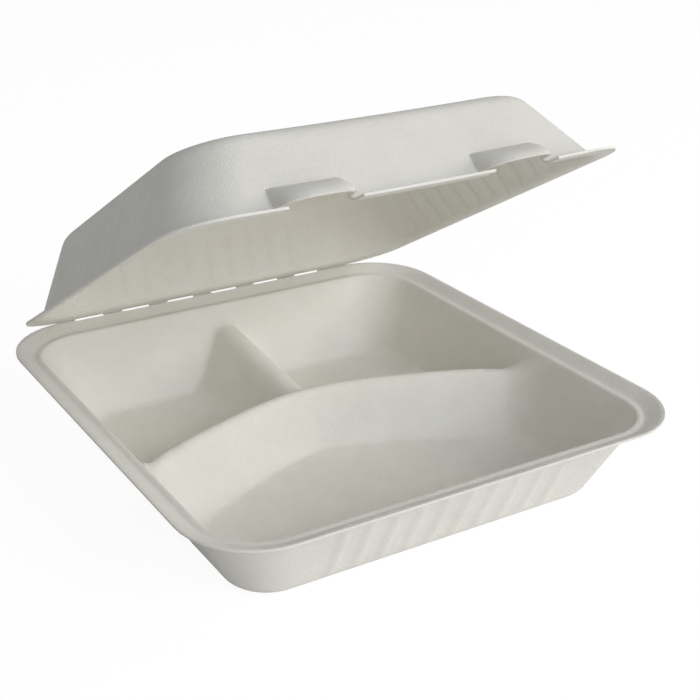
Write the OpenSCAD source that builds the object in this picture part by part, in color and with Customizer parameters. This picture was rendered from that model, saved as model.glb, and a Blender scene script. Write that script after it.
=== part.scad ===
// Hinged three-compartment takeaway container, moulded from plant-fibre pulp, in millimetres.
// The origin is under the middle of the container as it stands, +Z is up and the fold runs along X at the back.
// One sheet makes both halves. The tray and the lid meet only at the perforated fold.

/* [Sheet] */
// Thickness of the moulded sheet
sheet = 1.0; // [0.8:0.1:1.4]
// Height of the flange's top face above the surface that the tray stands on
tray_h = 41; // [34:0.5:50]
// Height of the lid from its flange to its outer top
lid_h = 36; // [26:0.5:40]
// Angle between the lid and the tray, as it stands
open_angle = 29.8; // [10:0.1:35]

/* [Tray flange] */
// Width of the tray's flange outline
tray_w = 228; // [222:1:240]
// From the fold to the front edge of the tray's flange
tray_d = 231; // [225:1:245]
// Corner radius of the tray's flange outline
tray_corner = 32.5; // [24:0.5:36]
// Flange outside the bead at each side
side_flange = 12.5; // [12:0.5:18]
// Flange outside the bead at the front
front_flange = 3.8; // [3.8:0.1:8]
// Flange outside the bead at the fold
back_flange = 13; // [13:0.5:18]
// Height of the raised bead round the opening
bead_h = 0.8; // [0.4:0.1:1.5]
// Width of the bead's outer slope
bead_slope = 1.6; // [1:0.1:3]
// Width of the bead's flat crest
bead_crest = 1.4; // [1:0.1:3]

/* [Tray basin] */
// Wall's lean from upright at the sides
side_draft = 17; // [10:0.5:20]
// Wall's lean from upright at the front
front_draft = 27.5; // [15:0.5:30]
// Wall's lean from upright at the back
back_draft = 17; // [10:0.5:20]
// Corner radius of the opening
basin_corner = 26; // [20:1:30]
// Corner radius where the walls meet the floor
floor_corner = 17; // [14:1:24]
// Fillet between the floor and the walls
floor_fillet = 7; // [3:0.5:9]

/* [Dividers] */
// Radius of the bowed main divider, at its crest
main_radius = 151; // [140:1:170]
// Distance of the main divider's crest from the fold, on the centre line
main_setback = 100.5; // [92:0.5:108]
// Height of the main divider's crest above the base
main_h = 28; // [20:0.5:30]
// Lean of the main divider's faces
main_draft = 20; // [10:1:30]
// Crest radius of the main divider
main_crest = 3.6; // [2.5:0.1:5]
// Height of the short divider's crest at the back wall
short_h_back = 28.5; // [24:0.5:33]
// Height of the short divider's crest at the main divider
short_h_front = 18.5; // [16:0.5:26]
// Lean of the short divider's faces
short_draft = 34; // [20:1:38]
// Crest radius of the short divider
short_crest = 8; // [4:0.5:9]
// Fillet at the foot of both dividers
foot_fillet = 7; // [3:0.5:9]

/* [Lid] */
// How far the lid's flange ends inside the tray's at each side
lid_side_inset = 9.7; // [9:0.1:11]
// How far the lid's flange ends behind the tray's front edge
lid_front_inset = 6.6; // [6:0.1:8]
// Corner radius of the lid's flange outline
lid_corner = 27; // [22:1:30]
// Clearance between the tray's bead and the lid's rim at the sides
lid_seat = 0.1; // [0.1:0.1:0.5]
// Flat width of the lid's flange at the front
lid_front_flange = 6.4; // [5:0.1:8]
// Flat width of the lid's flange at the fold
lid_back_flange = 11.5; // [10:0.1:12]
// Fillet between the lid's flange and its walls
lid_rim_fillet = 5; // [4:0.5:6]
// Lean of the lid's side walls
lid_side_draft = 27; // [15:0.5:28]
// Lean of the lid's front wall
lid_front_draft = 27.5; // [20:0.5:34]
// Lean of the lid's back wall
lid_back_draft = 17; // [12:0.5:28]
// Corner radius at the lid's rim
lid_rim_corner = 26; // [20:1:28]
// Corner radius where the lid's walls meet its top
lid_top_corner = 23; // [16:1:25]
// Fillet between the lid's walls and its top
lid_fillet = 9; // [4:0.5:11]

/* [Ribs] */
// Distance between neighbouring ribs
rib_pitch = 11.7; // [9:0.1:13]
// Radius of a rib's round section
rib_r = 3.6; // [3:0.1:4.5]
// How far a rib stands out from its wall
rib_out = 1.2; // [0.6:0.1:1.8]
// Plain wall between a rib's end and the flange
rib_gap = 3; // [2.4:0.1:4]
// Ribs on the tray's front wall and on the lid's back wall
cross_ribs = 10; // [6:2:10]
// Ribs on each side wall of the lid
side_ribs = 11; // [7:2:13]
// Distance from the fold to the middle rib on the lid's sides
side_rib_mid = 115; // [105:1:120]

/* [Fold and tab lock] */
// Number of slots through the fold
slot_count = 6; // [4:1:6]
// Distance between neighbouring slots
slot_pitch = 24.9; // [20:0.1:25]
// Length of one slot
slot_len = 15.2; // [10:0.1:17]
// Width of one slot, across both halves
slot_w = 2.4; // [1.6:0.1:3]
// How far the row of slots lies left of the centre line
slot_shift = 4.5; // [0:0.5:6]
// Clearance between the two halves along the fold
fold_gap = 0.3; // [0.2:0.05:0.6]
// Middle of each slit and tab from the centre line
tab_x = 45.4; // [40:0.1:48]
// Length of each slit in the tray's front flange
slit_len = 31; // [26:0.5:34]
// Width of each slit
slit_w = 1.3; // [1:0.1:1.6]
// Middle of each slit behind the flange's front edge
slit_inset = 2.6; // [2:0.1:3]
// Height of the tab's cut edge above the lid's flange face
tab_edge = 2.4; // [2:0.1:5]
// Height of the tab's upright face
tab_face = 5.9; // [4:0.1:8]
// Rise of the tab housing's roof, from its face back to the wall
tab_roof = 3.2; // [2:0.1:6]

/* [Hidden] */
pulp = [0.93, 0.92, 0.88];
corner_steps = 8;
fillet_step = 15;
foot_start = 78;
above = 4;
cut = 1;

// Opening's edge at the bead's crest, and the floor's sharp edge, from the fold and the centre line
bead_w = bead_slope + bead_crest;
crest_z = tray_h + bead_h;
open_x = tray_w / 2 - side_flange - bead_w;
open_front = -tray_d + front_flange + bead_w;
open_back = -back_flange - bead_w;
rise = crest_z - sheet;
floor_x = open_x - rise * tan(side_draft);
floor_front = open_front + rise * tan(front_draft);
floor_back = open_back - rise * tan(back_draft);
fold_y = (tray_d - sheet * sin(open_angle) + fold_gap / 2 * cos(open_angle)) / 2;

// The lid's rim and top, in the lid's own frame: closed, fold at the origin, flange face at z = 0
lid_w = tray_w - 2 * lid_side_inset;
lid_d = tray_d - lid_front_inset;
nest = sqrt(lid_rim_fillet * lid_rim_fillet - pow(lid_rim_fillet - bead_h, 2)) + lid_seat;
rim_x = open_x + bead_crest + nest - spread(lid_rim_fillet, lid_side_draft);
rim_front = -lid_d + lid_front_flange + spread(lid_rim_fillet, lid_front_draft);
rim_back = -lid_back_flange - spread(lid_rim_fillet, lid_back_draft);
dome = lid_h - sheet;
top_x = rim_x - dome * tan(lid_side_draft);
top_front = rim_front + dome * tan(lid_front_draft);
top_back = rim_back - dome * tan(lid_back_draft);
tab_y = -tray_d + slit_inset;

// Points of a rectangle with round corners, counter-clockwise
function outline(x, front, back, r) =
    [for (c = [[x - r, back - r, 0], [r - x, back - r, 90], [r - x, front + r, 180], [x - r, front + r, 270]])
        for (i = [0:corner_steps])
            let (a = c[2] + 90 * i / corner_steps)
            [c[0] + r * cos(a), c[1] + r * sin(a)]];

// The same outline grown by e on every side
function grown(x, front, back, r, e) = outline(x + e, front - e, back + e, r + e);

function at_z(points, z) = [for (p = points) [p[0], p[1], z]];

// How far a drafted wall with a floor fillet has moved out at height h above the floor
function wall_out(h, draft, fillet) =
    h < fillet * (1 - sin(draft))
        ? sqrt(fillet * fillet - pow(fillet - h, 2)) - fillet * (1 - sin(draft)) / cos(draft)
        : h * tan(draft);

// A wall's sideways growth when its sheet is thickened by g
function spread(g, draft) = g * (1 - sin(draft)) / cos(draft);

// How far a fillet at a cup's rim has swept its wall out, at depth u below the rim's plane
function flare(u, draft, lip, g) =
    lip == 0 || u >= lip - (lip - g) * sin(draft)
        ? 0
        : spread(lip, draft) - sqrt(pow(lip - g, 2) - pow(lip - u, 2)) + u * tan(draft) - g / cos(draft);

// Closed skin through equal rings of points, from the first to the last
module skin(rings) {
    n = len(rings[0]);
    last = len(rings) - 1;
    sides = [for (k = [0:last - 1]) for (i = [0:n - 1])
        let (a = k * n + i, b = k * n + (i + 1) % n)
        each [[a, a + n, b + n], [a, b + n, b]]];
    caps = [[for (i = [0:n - 1]) i], [for (i = [n - 1:-1:0]) last * n + i]];
    polyhedron([for (r = rings) each r], concat(sides, caps));
}

// Space inside a drafted cup that stands on z = 0, its sheet thickened by g and carried up to top.
// Its rim has a fillet when lip is more than 0.
module cup(x, front, back, drafts, corners, fillet, lip, height, top, g) {
    f = fillet + g;
    low = [for (a = [0:fillet_step:90 - fillet_step]) f * (1 - cos(a))];
    rim = lip > 0 ? [for (b = [60:-20:0]) height + g - lip + (lip - g) * cos(b)] : [];
    skin([for (h = concat(low, rim, lip > 0 && g > 0 ? [] : [top + g]))
        let (
            e = lip > 0 ? min(h, height + g) : h,
            u = height + g - e,
            wall = [for (d = drafts) wall_out(e, d, f) + spread(g, d)],
            sweep = [for (d = drafts) flare(u, d, lip, g)],
            r = corners[0] + (corners[1] - corners[0]) * wall[0] / (height * tan(drafts[0])) + sweep[0]
        )
        at_z(outline(x + wall[0] + sweep[0], front - wall[1] - sweep[1], back + wall[2] + sweep[2], r), h - g)]);
}

// One upright rib of a wall, with its round ends at two points of the wall's inner face
module rib(low, high, inward, g) {
    hull()
        for (p = [low, high])
            translate(p + inward * (rib_r - rib_out))
                sphere(rib_r + g, $fn = 16);
}

function rib_places(count) = [for (i = [0:count - 1]) (i - (count - 1) / 2) * rib_pitch];

// Section of a divider, upright in X and Y: crest circle, leaning faces and foot fillets, thinned by g
function divider_section(crest, r, draft, start, g) =
    let (
        centre = crest - r,
        foot = r * cos(draft) + (centre + r * sin(draft) - sheet) * tan(draft),
        reach = foot + foot_fillet * (1 - sin(draft)) / cos(draft),
        f = foot_fillet + g,
        low = [for (i = [0:3]) let (a = start + (draft - start) * i / 3)
            [reach - f * cos(a), sheet + foot_fillet - f * sin(a)]],
        arc = [for (i = [0:3]) let (a = draft + (90 - draft) * i / 3) [(r - g) * cos(a), centre + (r - g) * sin(a)]],
        half = concat([[low[0][0], -above]], low, arc),
        n = len(half)
    )
    concat(half, [for (i = [n - 2:-1:0]) [-half[i][0], half[i][1]]]);

// The bowed divider across the tray, its middle behind its ends
module main_divider(g) {
    translate([0, -main_setback - main_radius, 0])
        rotate([0, 0, 45])
            rotate_extrude(angle = 90, $fn = 96)
                translate([main_radius, 0])
                    polygon(divider_section(main_h, main_crest, main_draft, foot_start, g));
}

// The short divider from the back wall to the bowed one, falling towards the front
module short_divider(g) {
    skin([for (y = [rim_back + above, -main_setback])
        let (
            t = (y + main_setback) / (open_back + main_setback),
            crest = short_h_front + (short_h_back - short_h_front) * t
        )
        [for (p = divider_section(crest, short_crest, short_draft, foot_start + 2, g)) [p[0], y, p[1]]]]);
}

// Space above the tray's sheet, or the tray's whole body when g is the sheet's thickness
module tray_space(g) {
    difference() {
        union() {
            translate([0, 0, sheet])
                cup(floor_x, floor_front, floor_back, [side_draft, front_draft, back_draft],
                    [floor_corner, basin_corner], floor_fillet, 0, rise, g > 0 ? rise - g : rise + above, g);
            for (x = rib_places(cross_ribs))
                rib([x, floor_front - (rib_gap + rib_r) * tan(front_draft), sheet + rib_gap + rib_r],
                    [x, open_front + (rib_gap + rib_r) * tan(front_draft), crest_z - rib_gap - rib_r],
                    [0, cos(front_draft), sin(front_draft)], g);
        }
        main_divider(g);
        short_divider(g);
    }
}

// The raised bead round the opening: its top when drop is 0, its hollow underside when drop is the sheet's thickness
module bead(drop) {
    foot = bead_w - drop / 2;
    crest = bead_crest - drop / 2;
    skin([
        at_z(grown(open_x, open_front, open_back, basin_corner, foot), tray_h - sheet - (drop > 0 ? cut : 0)),
        at_z(grown(open_x, open_front, open_back, basin_corner, foot), tray_h - drop),
        at_z(grown(open_x, open_front, open_back, basin_corner, crest), crest_z - drop)]);
}

// Half of the slots through the fold, cut from the edge at y = 0
module fold_slots() {
    for (i = [0:slot_count - 1])
        translate([(i - (slot_count - 1) / 2) * slot_pitch - slot_shift, 0, 0])
            linear_extrude(4 * sheet, center = true)
                hull()
                    for (x = [-1, 1])
                        translate([x * (slot_len - slot_w) / 2, 0])
                            circle(d = slot_w, $fn = 12);
}

// Flange sheet, its back edge half the fold's clearance short of the fold
module flange(w, d, corner) {
    linear_extrude(sheet)
        intersection() {
            polygon(outline(w / 2, -d, 0, corner));
            translate([-w, -2 * d - fold_gap / 2])
                square([2 * w, 2 * d]);
        }
}

module tray() {
    color(pulp)
        translate([0, fold_y, 0])
            difference() {
                union() {
                    difference() {
                        union() {
                            translate([0, 0, tray_h - sheet])
                                flange(tray_w, tray_d, tray_corner);
                            bead(0);
                        }
                        bead(sheet);
                    }
                    tray_space(sheet);
                }
                tray_space(0);
                translate([0, 0, tray_h])
                    fold_slots();
                for (x = [-tab_x, tab_x])
                    translate([x - slit_len / 2, tab_y - slit_w / 2, tray_h - 2 * sheet])
                        cube([slit_len, slit_w, 4 * sheet]);
            }
}

// Housing that carries one tab: an upright face over the slit and a roof that runs back into the wall
module tab_housing(g) {
    top = tab_edge + tab_face + g;
    half = slit_len / 2 + g - sheet;
    hull() {
        translate([-half, tab_y - g + sheet / 2, 0])
            cube([2 * half, above, top]);
        translate([-half, rim_front + (tab_edge + tab_face + tab_roof) * tan(lid_front_draft), 0])
            cube([2 * half, above, top + tab_roof]);
    }
}

// Space under the lid's sheet, or the lid's whole body when g is the sheet's thickness
module lid_space(g) {
    translate([0, 0, dome])
        mirror([0, 0, 1])
            cup(top_x, top_front, top_back, [lid_side_draft, lid_front_draft, lid_back_draft],
                [lid_top_corner, lid_rim_corner], lid_fillet, lid_rim_fillet, dome, dome + above, g);
    foot = rib_gap + rib_r;
    head = dome - lid_fillet - rib_r;
    for (x = rib_places(cross_ribs))
        rib([x, rim_back - foot * tan(lid_back_draft), foot],
            [x, rim_back - head * tan(lid_back_draft), head],
            [0, -cos(lid_back_draft), -sin(lid_back_draft)], g);
    for (y = rib_places(side_ribs), side = [-1, 1])
        rib([side * (rim_x - foot * tan(lid_side_draft)), y - side_rib_mid, foot],
            [side * (rim_x - head * tan(lid_side_draft)), y - side_rib_mid, head],
            [-side * cos(lid_side_draft), 0, -sin(lid_side_draft)], g);
    for (x = [-tab_x, tab_x])
        translate([x, 0, 0])
            tab_housing(g);
}

// The lid shut, in its own frame
module shut_lid() {
    difference() {
        union() {
            flange(lid_w, lid_d, lid_corner);
            lid_space(sheet);
        }
        lid_space(0);
        fold_slots();
        for (x = [-tab_x, tab_x])
            translate([x - slit_len / 2, tab_y - above, -cut])
                cube([slit_len, rim_front - tab_y + 2 * above, tab_edge + cut]);
    }
}

module lid() {
    color(pulp)
        translate([0, fold_y, tray_h])
            rotate([-open_angle, 0, 0])
                shut_lid();
}

tray();
lid();
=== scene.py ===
"""The looks of a hinged three-compartment takeaway container in moulded plant fibre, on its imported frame.

Sheet dimensions are in millimetres, measured from the fold: x to the right, y to the back, z up from the
table. The lid is laid out shut, with its flange at z = 0, and is then swung open to its rest angle.
"""

import math

import bpy
import numpy as np
from mathutils import Matrix


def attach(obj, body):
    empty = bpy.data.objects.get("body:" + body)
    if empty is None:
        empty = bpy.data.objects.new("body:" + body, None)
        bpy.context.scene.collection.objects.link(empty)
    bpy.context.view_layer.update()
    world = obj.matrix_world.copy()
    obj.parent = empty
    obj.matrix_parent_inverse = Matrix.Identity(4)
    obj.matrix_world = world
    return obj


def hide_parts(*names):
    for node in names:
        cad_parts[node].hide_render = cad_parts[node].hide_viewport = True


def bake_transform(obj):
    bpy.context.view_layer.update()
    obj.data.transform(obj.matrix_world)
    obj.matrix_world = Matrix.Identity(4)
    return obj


MM = 0.001
SHEET = 1.0
FOLD_Y = 115.3166
TRAY_TOP = 41.0
OPEN_ANGLE = math.radians(29.8)
FOLD_CLEARANCE = 0.15

# Tray: flange that dips to a narrow shoulder, and the basin inside it
TRAY_HALF, TRAY_DEPTH, TRAY_CORNER = 114.0, 231.0, 32.5
FLANGE_DIP = 3.2
SHOULDER = [(3.6, 0.0), (3.0, 0.05), (2.4, 0.18), (1.8, 0.26), (1.2, 0.26), (0.7, 0.17)]
SHOULDER += [(0.3, -0.02), (0.0, -0.3), (-0.25, -0.72)]
OPEN_HALF, OPEN_FRONT, OPEN_BACK, OPEN_CORNER = 102.8, -220.6, -11.2, 24.0
TRAY_LEANS = (24.1, 25.4, 25.0)
FLOOR_CORNER, FLOOR_FILLET = 17.0, 7.0
BASIN_DEPTH = TRAY_TOP - FLANGE_DIP - SHEET

# Dividers
BOW_SETBACK, BOW_TOP, BOW_CREST, BOW_BACK_LEAN = 100.9, 27.6, 3.6, 20.0
BOW_CURVE = (5.28e-3, -5.28e-7, 3.75e-11)
SHORT_TOP_BACK, SHORT_TOP_FRONT, SHORT_LEAN, SHORT_CREST = 29.5, 20.5, 34.0, 8.0
DIVIDER_FILLET = 8.0

# Lid. The rim is where walls and flange would meet without their fillet.
LID_HALF, LID_DEPTH, LID_CORNER = 104.3, 224.4, 25.0
RIM_HALF, RIM_FRONT, RIM_BACK, RIM_CORNER = 99.65, -214.97, -15.2, 26.0
LID_LEANS = (27.0, 27.5, 17.0)
LID_RISE, LID_FILLET, LID_TOP_CORNER, RIM_FILLET = 35.0, 9.0, 23.0, 5.0
LID_WALL_ROW = 1.3  # height between two grid rows of the wall

# Ribs, slots, slits and tabs
RIB_PITCH, RIB_OUT, RIB_HALF = 11.7, 1.2, 3.7
CROSS_RIBS = [(i - 4.5) * RIB_PITCH for i in range(10)]
SIDE_RIBS = [-115.0 + (i - 5) * RIB_PITCH for i in range(11)]
SLOTS = [((i - 2.5) * 24.9 - 4.5 - 7.6, (i - 2.5) * 24.9 - 4.5 + 7.6) for i in range(6)]
SLOT_DEPTH = 1.5
TABS = [(-60.9, -29.9), (29.9, 60.9)]
SLIT_FRONT, SLIT_BACK = -229.05, -227.75
TAB_EDGE, TAB_RISE, TAB_SWELL = 2.4, 7.6, 13.4

ARC_POINTS = 11


# ---- the sheet's outline and profile ----


def spaced(stops, steps):
    """Ascending places with about steps[i] between stops[i] and stops[i + 1], every stop kept."""
    places = [stops[0]]
    for low, high, step in zip(stops, stops[1:], steps):
        count = max(1, round((high - low) / step))
        places += [low + (high - low) * (k + 1) / count for k in range(count)]
    return np.array(places)


def stretched(places, low, high, kept_low, kept_high):
    """Places moved so that they run from low to high, while those between the kept ones stay where they are."""
    kept_low, kept_high = max(kept_low, low + 5), min(kept_high, high - 5)
    moved = places.copy()
    left, right = places < kept_low, places > kept_high
    moved[left] = kept_low + (places[left] - kept_low) * (low - kept_low) / (places[0] - kept_low)
    moved[right] = kept_high + (places[right] - kept_high) * (high - kept_high) / (places[-1] - kept_high)
    return moved


class Layout:
    """Where a sheet's grid lines run: x places along the front and back, y places along both sides."""

    def __init__(self, front_x, back_x, side_y, front_kept, back_kept, side_kept):
        self.front_x, self.back_x, self.side_y = front_x, back_x, side_y
        self.front_kept, self.back_kept, self.side_kept = front_kept, back_kept, side_kept
        self.across, self.along = len(front_x), len(side_y)

    def sides(self, half, front, back, radius):
        """The front's and back's x places and the sides' y places for one rounded rectangle."""
        reach = half - radius
        front_x = stretched(self.front_x, -reach, reach, -self.front_kept, self.front_kept)
        back_x = stretched(self.back_x, -reach, reach, -self.back_kept, self.back_kept)
        side_y = stretched(self.side_y, front + radius, back - radius, *self.side_kept)
        return front_x, back_x, side_y

    def ring(self, half, front, back, radius):
        """A rounded rectangle's points, counter-clockwise from the right side's front end."""
        front_x, back_x, side_y = self.sides(half, front, back, radius)
        arcs = []
        for k, (cx, cy) in enumerate(
            [
                (half - radius, back - radius),
                (radius - half, back - radius),
                (radius - half, front + radius),
                (half - radius, front + radius),
            ]
        ):
            angle = np.radians(90 * k + 90 * np.arange(1, ARC_POINTS) / ARC_POINTS)
            arcs.append(np.stack([cx + radius * np.cos(angle), cy + radius * np.sin(angle)], 1))
        right = np.stack([np.full(self.along, half), side_y], 1)
        rear = np.stack([back_x[::-1], np.full(self.across, back)], 1)
        left = np.stack([np.full(self.along, -half), side_y[::-1]], 1)
        fore = np.stack([front_x, np.full(self.across, front)], 1)
        return np.concatenate([right, arcs[0], rear, arcs[1], left, arcs[2], fore, arcs[3]])

    def floor(self, half, front, back):
        """Grid of points over the rectangle inside the last ring, as across x along x 2."""
        front_x, back_x, side_y = self.sides(half, front, back, 0.0)
        share = ((side_y - front) / (back - front))[None, :]
        x = front_x[:, None] * (1 - share) + back_x[:, None] * share
        return np.stack([x, np.broadcast_to(side_y[None, :], x.shape)], 2)

    def faces(self, ring_count):
        """Faces of the rings and of the floor inside them, all seen counter-clockwise from above."""
        across, along, arc = self.across, self.along, ARC_POINTS - 1
        n = 2 * (across + along) + 4 * arc
        i = np.arange(n)
        bands = []
        for k in range(ring_count - 1):
            outer, inner = k * n, (k + 1) * n
            bands.append(np.stack([outer + i, outer + (i + 1) % n, inner + (i + 1) % n, inner + i], 1))
        start, last = ring_count * n, (ring_count - 1) * n

        def cell(a, b):
            return start + a * along + b

        a, b = np.meshgrid(np.arange(across - 1), np.arange(along - 1), indexing="ij")
        inside = np.stack([cell(a, b), cell(a + 1, b), cell(a + 1, b + 1), cell(a, b + 1)], 2).reshape(-1, 4)
        k, m = np.arange(along - 1), np.arange(across - 1)
        rear, left = along + arc, along + 2 * arc + across
        fore = left + along + arc
        links = [
            np.stack([last + k, last + k + 1, cell(across - 1, k + 1), cell(across - 1, k)], 1),
            np.stack([last + rear + m, last + rear + m + 1, cell(across - 2 - m, along - 1), cell(across - 1 - m, along - 1)], 1),
            np.stack([last + left + k, last + left + k + 1, cell(0, along - 2 - k), cell(0, along - 1 - k)], 1),
            np.stack([last + fore + m, last + fore + m + 1, cell(m + 1, 0), cell(m, 0)], 1),
        ]
        quads = np.concatenate(bands + [inside] + links)
        corners = [
            (along - 1, cell(across - 1, along - 1)),
            (rear + across - 1, cell(0, along - 1)),
            (left + along - 1, cell(0, 0)),
            (fore + across - 1, cell(across - 1, 0)),
        ]
        fans = [[last + (at + j) % n, last + (at + j + 1) % n, corner] for at, corner in corners for j in range(arc + 1)]
        return quads, np.array(fans)


def wall_out(height, lean, fillet):
    """How far a leaning wall has moved out at a height above its floor, with the fillet between them."""
    tilt = math.radians(lean)
    if height < fillet * (1 - math.sin(tilt)):
        return math.sqrt(fillet**2 - (fillet - height) ** 2) - fillet * (1 - math.sin(tilt)) / math.cos(tilt)
    return height * math.tan(tilt)


def basin_heights(depth, fillet, lean, wall_step):
    """Heights above the floor at which rings are laid, from the top down to the floor."""
    curve = [fillet * (1 - math.cos(math.radians(a))) for a in range(0, 64, 7)]
    walls = spaced([curve[-1] + 0.8, depth], [wall_step])
    return np.concatenate([walls[::-1], curve[::-1]])


def soft_max(a, b, reach):
    """The larger of two heights, with a fillet where they cross."""
    near = np.maximum(reach - np.abs(a - b), 0) / reach
    return np.maximum(a, b) + near**2 * reach / 4


def divider_height(off, top, crest, lean):
    """A divider's height at a distance from its middle line: round crest and leaning faces."""
    tilt = np.radians(lean)
    off = np.abs(off)
    turn = crest * np.cos(tilt)
    cap = top - crest + np.sqrt(np.maximum(crest**2 - np.minimum(off, turn) ** 2, 0))
    return cap - np.maximum(off - turn, 0) / np.tan(tilt)


def bow_height(x, y):
    """The main divider's height: bowed to the front, its front face lying back more towards its ends."""
    a, b, c = BOW_CURVE
    out = np.minimum(np.abs(x), 104)
    middle = -BOW_SETBACK - (a * out**2 + b * out**4 + c * out**6)
    slope = 2 * a * out + 4 * b * out**3 + 6 * c * out**5
    off = (y - middle) / np.sqrt(1 + slope**2)
    front_lean = np.degrees(np.arctan(np.minimum(0.29 + 0.0040 * out, 0.56)))
    return divider_height(off, BOW_TOP, BOW_CREST, np.where(off < 0, front_lean, BOW_BACK_LEAN))


def rib_swell(along, places, height, low, high):
    """How far ribs push the wall out, for points along the wall and up it."""
    swell = np.zeros_like(along)
    for place in places:
        near = np.clip(np.abs(along - place) / RIB_HALF, 0, 1)
        swell = np.maximum(swell, 0.5 + 0.5 * np.cos(math.pi * near))
    ends = np.clip((height - low) / 4.5, 0, 1) * np.clip((high - height) / 4.5, 0, 1)
    return RIB_OUT * swell * np.sin(ends * math.pi / 2)


# ---- from points to a closed sheet ----


def point_normals(points, faces):
    """Unit normals of points from the faces round them, larger faces counting more."""
    normals = np.zeros_like(points)
    for corners in faces:
        a, b, c = points[corners[:, 0]], points[corners[:, 1]], points[corners[:, 2]]
        spread = np.cross(b - a, c - a)
        if corners.shape[1] == 4:
            spread = np.cross(c - a, points[corners[:, 3]] - b)
        for j in range(corners.shape[1]):
            np.add.at(normals, corners[:, j], spread)
    return normals / np.maximum(np.linalg.norm(normals, axis=1, keepdims=True), 1e-12)


def moulded_sheet(name, points, quads, fans, away, place):
    """A closed sheet of even thickness: the given face, the other one behind it and the cut edges."""
    normals = point_normals(points, [quads, fans])
    behind = points + away * SHEET * normals
    count = len(points)
    both = np.concatenate([points, behind])
    edges = np.concatenate([np.stack([f[:, j], f[:, (j + 1) % f.shape[1]]], 1) for f in (quads, fans) for j in range(f.shape[1])])
    keys = {tuple(e) for e in edges.tolist()}
    rim = [(b, a, a + count, b + count) for a, b in keys if (b, a) not in keys]
    faces = [tuple(f) for f in quads.tolist()] + [tuple(f) for f in fans.tolist()]
    back = [tuple(v + count for v in reversed(f)) for f in faces]
    if away > 0:
        faces, back = [f[::-1] for f in faces], [f[::-1] for f in back]
        rim = [f[::-1] for f in rim]
    used = sorted({v for f in faces for v in f})
    used += [v + count for v in used]
    number = {v: i for i, v in enumerate(used)}
    mesh = bpy.data.meshes.new(name)
    every = [tuple(number[v] for v in f) for f in faces + back + rim]
    mesh.from_pydata([tuple(v) for v in (place(both[used]) * MM).tolist()], [], every)
    mesh.shade_smooth()
    mesh.set_sharp_from_angle(angle=math.radians(50))
    mesh.validate()
    piece = bpy.data.objects.new(name, mesh)
    bpy.context.scene.collection.objects.link(piece)
    return piece


def cut_out(points, quads, boxes):
    """The faces whose middle lies in none of the boxes."""
    middle = points[quads].mean(1)
    gone = np.zeros(len(quads), bool)
    for low, high in boxes:
        gone |= np.all((middle > np.array(low)) & (middle < np.array(high)), axis=1)
    return quads[~gone]


def on_table(points):
    return points + np.array([0, FOLD_Y, 0])


def swung_open(points):
    """From the shut lid's layout to its place at rest."""
    turned = points.copy()
    turned[:, 1] = points[:, 1] * math.cos(OPEN_ANGLE) + points[:, 2] * math.sin(OPEN_ANGLE) + FOLD_Y
    turned[:, 2] = points[:, 2] * math.cos(OPEN_ANGLE) - points[:, 1] * math.sin(OPEN_ANGLE) + TRAY_TOP
    return turned


def with_fold_edge(ring, outer, depth):
    """A flange ring whose points along the fold lie straight in front of the outer ring's points."""
    moved = ring.copy()
    straight = outer[:, 1] > -FOLD_CLEARANCE - 1e-6
    moved[straight] = outer[straight] - np.array([0, depth])
    return moved


# ---- tray ----


def tray_layout():
    slot_ends = sorted(x for slot in SLOTS for x in slot)
    front = spaced([-84, -TABS[1][1], -TABS[1][0], 0, TABS[1][0], TABS[1][1], 84], [1.5, 1.24, 1.2, 1.2, 1.24, 1.5])
    stops = [-84.0] + slot_ends + [84.0]
    step = (len(front) - 1) / 168
    counts = [max(1, round((b - a) * step)) for a, b in zip(stops, stops[1:])]
    counts[0] += len(front) - 1 - sum(counts)
    back = np.concatenate([[stops[0]]] + [a + (b - a) * np.arange(1, c + 1) / c for a, b, c in zip(stops, stops[1:], counts)])
    side = spaced([-201, -150, -90, -30], [2.6, 1.3, 2.0])
    return Layout(front, back, side, 62, 60, (-185, -46))


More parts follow.
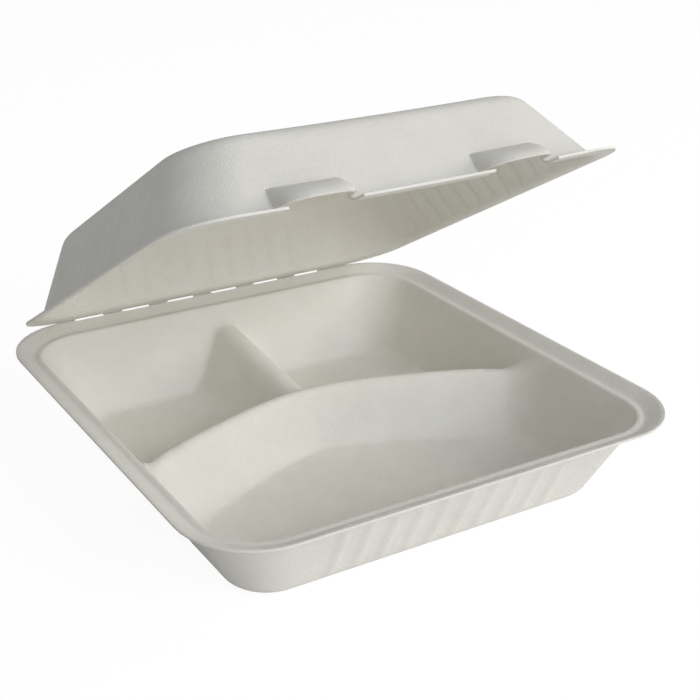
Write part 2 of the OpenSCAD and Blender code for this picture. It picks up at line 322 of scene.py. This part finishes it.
def build_tray():
    layout = tray_layout()
    outer = layout.ring(TRAY_HALF, -TRAY_DEPTH, -FOLD_CLEARANCE, TRAY_CORNER)
    rings = [(outer, TRAY_TOP)]
    out = SHOULDER[0][0]
    foot = layout.ring(OPEN_HALF + out, OPEN_FRONT - out, OPEN_BACK + out, OPEN_CORNER + out)
    cut_line = with_fold_edge(outer * 0.86 + foot * 0.14, outer, SLOT_DEPTH)
    rings.append((cut_line, TRAY_TOP))
    for share in (0.28, 0.45, 0.63, 0.8):
        rings.append((outer * (1 - share) + foot * share, TRAY_TOP - FLANGE_DIP * (share - 0.14) / 0.86))
    shoulder_top = TRAY_TOP - FLANGE_DIP
    for out, rise in SHOULDER:
        rings.append((layout.ring(OPEN_HALF + out, OPEN_FRONT - out, OPEN_BACK + out, OPEN_CORNER + out), shoulder_top + rise))
    flange_points = sum(len(ring) for ring, z in rings)
    side_lean, front_lean, back_lean = TRAY_LEANS
    tan = [math.tan(math.radians(a)) for a in TRAY_LEANS]
    floor_half = OPEN_HALF - BASIN_DEPTH * tan[0]
    floor_front = OPEN_FRONT + BASIN_DEPTH * tan[1]
    floor_back = OPEN_BACK - BASIN_DEPTH * tan[2]
    for h in basin_heights(BASIN_DEPTH - 1.4, FLOOR_FILLET, side_lean, 1.35):
        side, fore, aft = (wall_out(h, lean, FLOOR_FILLET) for lean in TRAY_LEANS)
        radius = FLOOR_CORNER + (OPEN_CORNER - FLOOR_CORNER) * side / (BASIN_DEPTH * tan[0])
        rings.append((layout.ring(floor_half + side, floor_front - fore, floor_back + aft, radius), SHEET + h))
    inset = 9.0
    inner = layout.ring(floor_half - inset, floor_front + inset, floor_back - inset, 5.0)
    rings.append((inner, SHEET))
    inset = 12.0
    grid = layout.floor(floor_half - inset, floor_front + inset, floor_back - inset)

    flat = np.concatenate([ring for ring, z in rings] + [grid.reshape(-1, 2)])
    z = np.concatenate([np.full(len(ring), z) for ring, z in rings] + [np.full(grid.shape[0] * grid.shape[1], SHEET)])
    x, y = flat[:, 0].copy(), flat[:, 1].copy()
    basin = np.arange(len(x)) >= flange_points
    wall = basin & (y < OPEN_FRONT + BASIN_DEPTH * tan[1]) & (np.abs(x) < 66)
    swell = np.where(wall, rib_swell(x, CROSS_RIBS, z, 3.0, 36.5), 0)
    y -= swell * math.cos(math.radians(front_lean))
    bow = bow_height(x, y)
    fall = np.clip((y + BOW_SETBACK) / (OPEN_BACK + BOW_SETBACK), 0, 1)
    short = divider_height(x, SHORT_TOP_FRONT + (SHORT_TOP_BACK - SHORT_TOP_FRONT) * fall, SHORT_CREST, SHORT_LEAN)
    short = np.where(y > -BOW_SETBACK, short, -50)
    reach = DIVIDER_FILLET + 10.0 * np.clip((np.abs(x) - 68) / 18, 0, 1)
    z = np.where(basin, soft_max(soft_max(z, bow, reach), short, 7.0), z)
    points = np.stack([x, y, z], 1)
    quads, fans = layout.faces(len(rings))
    slots = [((a, -SLOT_DEPTH - 0.1, 0), (b, 1, 60)) for a, b in SLOTS]
    slits = [((a, SLIT_FRONT - 0.1, 0), (b, SLIT_BACK + 0.1, 60)) for a, b in TABS]
    return moulded_sheet("tray_skin", points, cut_out(points, quads, slots + slits), fans, -1, on_table)


# ---- lid ----


def lid_layout():
    slot_ends = sorted(x for slot in SLOTS for x in slot)
    front = spaced([-83, -63, -60.9, -29.9, -27.9, 27.9, 29.9, 60.9, 63, 83], [1.8, 0.5, 1.3, 0.5, 1.4, 0.5, 1.3, 0.5, 1.8])
    stops = [-83.0] + slot_ends + [83.0]
    step = (len(front) - 1) / 166
    counts = [max(1, round((b - a) * step)) for a, b in zip(stops, stops[1:])]
    counts[0] += len(front) - 1 - sum(counts)
    back = np.concatenate([[stops[0]]] + [a + (b - a) * np.arange(1, c + 1) / c for a, b, c in zip(stops, stops[1:], counts)])
    side = spaced([-202, -185, -46, -24], [1.8, 1.2, 1.8])
    return Layout(front, back, side, 66, 60, (-185, -46))


def rim_sweep(depth, lean):
    """How far the fillet at the rim has swept a wall out, at a distance from the flange's face."""
    tilt = math.radians(lean)
    if depth >= RIM_FILLET * (1 - math.sin(tilt)):
        return 0.0
    start = RIM_FILLET * (1 - math.sin(tilt)) / math.cos(tilt)
    return start - math.sqrt(RIM_FILLET**2 - (RIM_FILLET - depth) ** 2) + depth * math.tan(tilt)


def lid_ring(layout, z):
    """The lid's inner face at a height above the flange's face."""
    tan = [math.tan(math.radians(a)) for a in LID_LEANS]
    walls = [wall_out(LID_RISE - z, lean, LID_FILLET) for lean in LID_LEANS]
    sweeps = [rim_sweep(z, lean) for lean in LID_LEANS]
    radius = LID_TOP_CORNER + (RIM_CORNER - LID_TOP_CORNER) * walls[0] / (LID_RISE * tan[0]) + sweeps[0]
    half, fore, aft = (wall + sweep for wall, sweep in zip(walls, sweeps))
    return layout.ring(
        RIM_HALF - LID_RISE * tan[0] + half, RIM_FRONT + LID_RISE * tan[1] - fore, RIM_BACK - LID_RISE * tan[2] + aft, radius
    )


def tab_swell(x, z):
    """How far the tab housings swell out of the front wall: round in plan, falling back to the wall above."""
    swell = np.zeros_like(x)
    for low, high in TABS:
        across = np.clip(np.abs(x - (low + high) / 2) / ((high - low) / 2), 0, 1)
        up = np.clip((z - TAB_EDGE) / TAB_RISE, 0, 1)
        swell = np.maximum(swell, (1 - across**3) ** 0.5 * (1 - up**2) ** 0.75)
    return TAB_SWELL * swell


def warped(points):
    """The slight twist and sag that the thin lid has in the photograph, none of it at the fold."""
    x, y, z = points.T
    reach = -y / LID_DEPTH
    drift = -1.0 * (1 - np.exp(np.minimum(y, 0) / 15)) - 0.0098 * -y
    lift = (0.93 * x / LID_HALF + 1.46 * ((x / LID_HALF) ** 2 - 0.3) - 0.58) * reach
    return np.stack([x + drift, y, z + lift], 1)


def build_lid():
    layout = lid_layout()
    outer = layout.ring(LID_HALF, -LID_DEPTH, -FOLD_CLEARANCE, LID_CORNER)
    rings = [(outer, 0.0)]
    rim = lid_ring(layout, 0.0)
    rings.append((with_fold_edge(outer * 0.88 + rim * 0.12, outer, SLOT_DEPTH), 0.0))
    for share in (0.35, 0.6, 0.8):
        rings.append((outer * (1 - share) + rim * share, 0.0))
    fillet = [RIM_FILLET * (1 - math.cos(math.radians(a))) for a in (0, 12, 22, 30, 37, 44, 51)]
    levels = fillet + [TAB_EDGE] + list(np.arange(TAB_EDGE + 0.45, TAB_EDGE + TAB_RISE + 0.6, 0.45))
    turn = [LID_RISE - LID_FILLET * (1 - math.cos(math.radians(a))) for a in range(56, -1, -7)]
    count = round((turn[0] - levels[-1]) / LID_WALL_ROW)
    levels += list(np.linspace(levels[-1], turn[0], count + 1)[1:-1]) + turn
    rings += [(lid_ring(layout, z), z) for z in sorted(levels)]
    tan = [math.tan(math.radians(a)) for a in LID_LEANS]
    top_half, top_front, top_back = RIM_HALF - LID_RISE * tan[0], RIM_FRONT + LID_RISE * tan[1], RIM_BACK - LID_RISE * tan[2]
    rings.append((layout.ring(top_half - 10, top_front + 10, top_back - 10, 17.0), LID_RISE))
    grid = layout.floor(top_half - 17, top_front + 17, top_back - 17)

    flat = np.concatenate([ring for ring, z in rings] + [grid.reshape(-1, 2)])
    z = np.concatenate([np.full(len(ring), z) for ring, z in rings] + [np.full(grid.shape[0] * grid.shape[1], LID_RISE)])
    x, y = flat[:, 0].copy(), flat[:, 1].copy()
    walls = (z > 0.5) & (z < LID_RISE - 2)
    side = walls & (np.abs(x) > top_half - 4) & (y < -40) & (y > -190)
    rear = walls & (y > top_back - 4) & (np.abs(x) < 68)
    out = np.where(side, rib_swell(y, SIDE_RIBS, z, 2.0, 26.0), 0)
    x += np.sign(x) * out * math.cos(math.radians(LID_LEANS[0]))
    z_out = out * math.sin(math.radians(LID_LEANS[0]))
    out = np.where(rear, rib_swell(x, CROSS_RIBS, z, 2.0, 26.0), 0)
    y += out * math.cos(math.radians(LID_LEANS[2]))
    z = z + z_out + out * math.sin(math.radians(LID_LEANS[2]))
    fore = (z > TAB_EDGE - 0.05) & (y < top_front)
    y = np.where(fore, y - tab_swell(x, z), y)
    points = np.stack([x, y, z], 1)
    quads, fans = layout.faces(len(rings))
    slots = [((a, -SLOT_DEPTH - 0.1, -1), (b, 1, 1)) for a, b in SLOTS]
    tabs = [((a, -260, -1), (b, -200, TAB_EDGE)) for a, b in TABS]
    quads = cut_out(points, quads, slots + tabs)
    return moulded_sheet("lid_skin", points, quads, fans, 1, lambda p: swung_open(warped(p)))


# ---- fold ----


def build_fold():
    """The creased lands between the slots: a thin round back round the fold line."""
    ends = [-84.0] + sorted(x for slot in SLOTS for x in slot) + [84.0]
    lands = [(a, b) for a, b in zip(ends[::2], ends[1::2])]
    start, turn = -math.pi / 2, math.pi - OPEN_ANGLE
    steps = 14
    points, faces = [], []
    for a, b in lands:
        columns = max(2, round((b - a) / 3))
        for c in range(columns + 1):
            x = a + (b - a) * c / columns
            for radius in (SHEET, 0.05):
                for k in range(steps + 1):
                    angle = start + turn * k / steps
                    points.append((x, FOLD_Y + radius * math.cos(angle), TRAY_TOP + radius * math.sin(angle)))
        row = 2 * (steps + 1)
        base = len(points) - (columns + 1) * row
        for c in range(columns):
            at, to = base + c * row, base + (c + 1) * row
            for k in range(steps):
                faces.append((at + k, to + k, to + k + 1, at + k + 1))
                inner = steps + 1
                faces.append((at + inner + k, at + inner + k + 1, to + inner + k + 1, to + inner + k))
            faces.append((at, at + steps + 1, to + steps + 1, to))
            faces.append((at + steps, to + steps, to + 2 * steps + 1, at + 2 * steps + 1))
        for at, flip in ((base, False), (base + columns * row, True)):
            for k in range(steps):
                cap = (at + k, at + k + 1, at + steps + 2 + k, at + steps + 1 + k)
                faces.append(cap[::-1] if flip else cap)
    mesh = bpy.data.meshes.new("fold_lands")
    mesh.from_pydata([tuple(v * MM for v in p) for p in points], [], faces)
    mesh.shade_smooth()
    mesh.set_sharp_from_angle(angle=math.radians(50))
    piece = bpy.data.objects.new("fold_lands", mesh)
    bpy.context.scene.collection.objects.link(piece)
    return piece


# ---- finish of the pulp ----


class Shade:
    """One value in a material. Arithmetic on it adds Math nodes."""

    def __init__(self, recipe, socket):
        self.recipe, self.socket = recipe, socket

    def math(self, operation, *values):
        return self.recipe.add("ShaderNodeMath", {"operation": operation}, dict(enumerate(values)))

    def __add__(self, other):
        return self.math("ADD", self, other)

    def __radd__(self, other):
        return self.math("ADD", other, self)

    def __sub__(self, other):
        return self.math("SUBTRACT", self, other)

    def __rsub__(self, other):
        return self.math("SUBTRACT", other, self)

    def __mul__(self, other):
        return self.math("MULTIPLY", self, other)

    def __rmul__(self, other):
        return self.math("MULTIPLY", other, self)

    def __truediv__(self, other):
        return self.math("DIVIDE", self, other)

    def __pow__(self, other):
        return self.math("POWER", self, other)


class Recipe:
    """A material's node tree, filled one node at a time."""

    def __init__(self, name):
        self.material = bpy.data.materials.new(name)
        self.material.use_nodes = True
        self.tree = self.material.node_tree
        self.tree.nodes.clear()

    def add(self, kind, settings=None, values=None, output=0):
        """One node: its settings, then the values or links of its sockets. Gives back one output."""
        node = self.tree.nodes.new(kind)
        for key, value in (settings or {}).items():
            if key == "stops":
                ramp = node.color_ramp
                for place, colour in value[2:]:
                    ramp.elements.new(place)
                for element, (place, colour) in zip(ramp.elements, sorted(value)):
                    element.position, element.color = place, (*colour, 1)
            else:
                setattr(node, key, value)
        for key, value in (values or {}).items():
            if isinstance(value, Shade):
                self.tree.links.new(value.socket, node.inputs[key])
            else:
                node.inputs[key].default_value = value
        return Shade(self, node.outputs[output]) if node.outputs else node

    def mix(self, share, first, second):
        """A colour between two, or a link to one."""
        return self.add(
            "ShaderNodeMix", {"data_type": "RGBA"}, {0: share, 6: first, 7: second}, output=2
        )


def wire_mesh(recipe, place, pitch):
    """Height of the woven wire's print, laid over each wall from the side that it faces."""
    normal = recipe.add("ShaderNodeTexCoord", output="Normal")
    parts = recipe.add("ShaderNodeSeparateXYZ", values={0: normal})
    facing = [Shade(recipe, parts.socket.node.outputs[i]) for i in range(3)]
    spot = recipe.add("ShaderNodeSeparateXYZ", values={0: place})
    turns = [Shade(recipe, spot.socket.node.outputs[i]) * (2 * math.pi / pitch) for i in range(3)]
    waves = [turn.math("SINE", turn) for turn in turns]
    weight = [f * f for f in facing]
    return weight[0] * (waves[1] * waves[2]) + weight[1] * (waves[0] * waves[2]) + weight[2] * (waves[0] * waves[1])


def pulp_finish(name, tone, warm, mesh_depth):
    """Matt bleached fibre pulp: mottled tone, fine fibres and the print of the mould's wire mesh."""
    recipe = Recipe(name)
    place = recipe.add("ShaderNodeTexCoord", output="Object")
    clouds = recipe.add("ShaderNodeTexNoise", values={"Vector": place, "Scale": 55.0, "Detail": 3.0, "Roughness": 0.55})
    flecks = recipe.add("ShaderNodeTexNoise", values={"Vector": place, "Scale": 900.0, "Detail": 4.0, "Roughness": 0.7})
    fibres = recipe.add("ShaderNodeTexNoise", values={"Vector": place, "Scale": 2200.0, "Detail": 2.0, "Roughness": 0.6})
    mottle = clouds * 0.55 + flecks * 0.45
    base = recipe.mix(recipe.add("ShaderNodeMapRange", values={0: mottle, 1: 0.36, 2: 0.64}), (*tone, 1), (*warm, 1))
    roughness = flecks * 0.14 + 0.82
    print_height = wire_mesh(recipe, place, 0.00125)
    height = print_height * mesh_depth + flecks * 0.9 + fibres * 0.4
    bump = recipe.add("ShaderNodeBump", values={"Strength": 0.55, "Distance": 0.00012, "Height": height})
    shader = recipe.add(
        "ShaderNodeBsdfPrincipled",
        values={"Base Color": base, "Roughness": roughness, "Normal": bump, "Specular IOR Level": 0.25},
    )
    recipe.add("ShaderNodeOutputMaterial", values={"Surface": shader})
    return recipe.material


# ---- table, light and camera ----


def build_table():
    """A plain white table and backdrop that only take the container's soft shadow."""
    mesh = bpy.data.meshes.new("table")
    reach, floor = 6.0, -0.0002
    corners = [(-reach, -reach, floor), (reach, -reach, floor), (reach, reach, floor), (-reach, reach, floor)]
    mesh.from_pydata(corners, [], [(0, 1, 2, 3)])
    table = bpy.data.objects.new("table", mesh)
    bpy.context.scene.collection.objects.link(table)
    recipe = Recipe("table_white")
    paper = recipe.add("ShaderNodeBsdfDiffuse", values={"Color": (0.86, 0.86, 0.86, 1)})
    glow = recipe.add("ShaderNodeEmission", values={"Color": (1, 1, 1, 1), "Strength": 1.08})
    camera_ray = recipe.add("ShaderNodeLightPath", output="Is Camera Ray")
    shown = recipe.add("ShaderNodeMixShader", values={0: camera_ray * 0.86, 1: paper, 2: glow})
    recipe.add("ShaderNodeOutputMaterial", values={"Surface": shown})
    mesh.materials.append(recipe.material)


def build_light():
    world = bpy.data.worlds.new("studio")
    bpy.context.scene.world = world
    world.use_nodes = True
    nodes, links = world.node_tree.nodes, world.node_tree.links
    nodes.clear()
    soft = nodes.new("ShaderNodeBackground")
    soft.inputs[0].default_value, soft.inputs[1].default_value = (0.98, 0.99, 1.0, 1), 0.35
    white = nodes.new("ShaderNodeBackground")
    white.inputs[0].default_value, white.inputs[1].default_value = (1, 1, 1, 1), 1.0
    ray = nodes.new("ShaderNodeLightPath")
    mixed, out = nodes.new("ShaderNodeMixShader"), nodes.new("ShaderNodeOutputWorld")
    links.new(ray.outputs["Is Camera Ray"], mixed.inputs[0])
    links.new(soft.outputs[0], mixed.inputs[1])
    links.new(white.outputs[0], mixed.inputs[2])
    links.new(mixed.outputs[0], out.inputs[0])

    def lamp(name, spot, target, size, power, colour):
        data = bpy.data.lights.new(name, "AREA")
        data.shape, data.size, data.energy, data.color = "DISK", size, power, colour
        lamp_object = bpy.data.objects.new(name, data)
        lamp_object.location = spot
        aim = np.array(target) - np.array(spot)
        back = -aim / np.linalg.norm(aim)
        side = np.cross((0, 0, 1), back)
        side /= np.linalg.norm(side)
        up = np.cross(back, side)
        lamp_object.rotation_euler = Matrix(np.stack([side, up, back], 1).tolist()).to_euler()
        bpy.context.scene.collection.objects.link(lamp_object)

    lamp("front_softbox", (0.55, -1.7, 1.0), (0, 0, 0.05), 0.9, 14.0, (0.88, 0.92, 1.0))
    lamp("right_softbox", (1.7, -0.7, 0.9), (0, 0, 0.05), 0.9, 8.4, (1.0, 0.95, 0.85))
    lamp("low_softbox", (0.1, -1.9, 0.25), (0, 0, 0.05), 0.9, 5.4, (1.0, 0.93, 0.8))


def build_camera():
    """The photograph's camera, fitted to the container's own lines."""
    turn, tilt, roll = -0.534875, 0.395275, 0.00494
    look = np.array([-math.sin(turn) * math.cos(tilt), math.cos(turn) * math.cos(tilt), -math.sin(tilt)])
    right = np.array([math.cos(turn), math.sin(turn), 0.0])
    up = np.cross(right, look)
    side = math.cos(roll) * right + math.sin(roll) * up
    top = -math.sin(roll) * right + math.cos(roll) * up
    data = bpy.data.cameras.new("photo_camera")
    data.sensor_width, data.lens = 36.0, 67.764
    data.shift_x, data.shift_y = 0.0607, -0.0471
    data.clip_start, data.clip_end = 0.01, 50
    camera = bpy.data.objects.new("photo_camera", data)
    matrix = Matrix(np.stack([side, top, -look], 1).tolist()).to_4x4()
    matrix.translation = (-0.281322, (FOLD_Y - 574.481) * MM, 0.293335)
    camera.matrix_world = matrix
    bpy.context.scene.collection.objects.link(camera)
    bpy.context.scene.camera = camera


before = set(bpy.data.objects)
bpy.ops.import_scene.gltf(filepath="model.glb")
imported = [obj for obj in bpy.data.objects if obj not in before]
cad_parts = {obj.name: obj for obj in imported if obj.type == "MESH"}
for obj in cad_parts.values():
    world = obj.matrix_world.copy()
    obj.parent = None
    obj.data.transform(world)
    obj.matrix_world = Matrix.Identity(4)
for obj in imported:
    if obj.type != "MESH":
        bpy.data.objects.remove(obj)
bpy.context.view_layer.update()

tray, lid, fold = build_tray(), build_lid(), build_fold()
pulp = pulp_finish("pulp", (0.84, 0.822, 0.762), (0.885, 0.87, 0.82), 1.0)
for piece in (tray, lid, fold):
    piece.data.materials.append(pulp)
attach(tray, "tray")
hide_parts("tray")
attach(lid, "lid")
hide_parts("lid")
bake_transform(fold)

build_table()
build_light()
build_camera()
bpy.context.scene.view_settings.view_transform = "Standard"
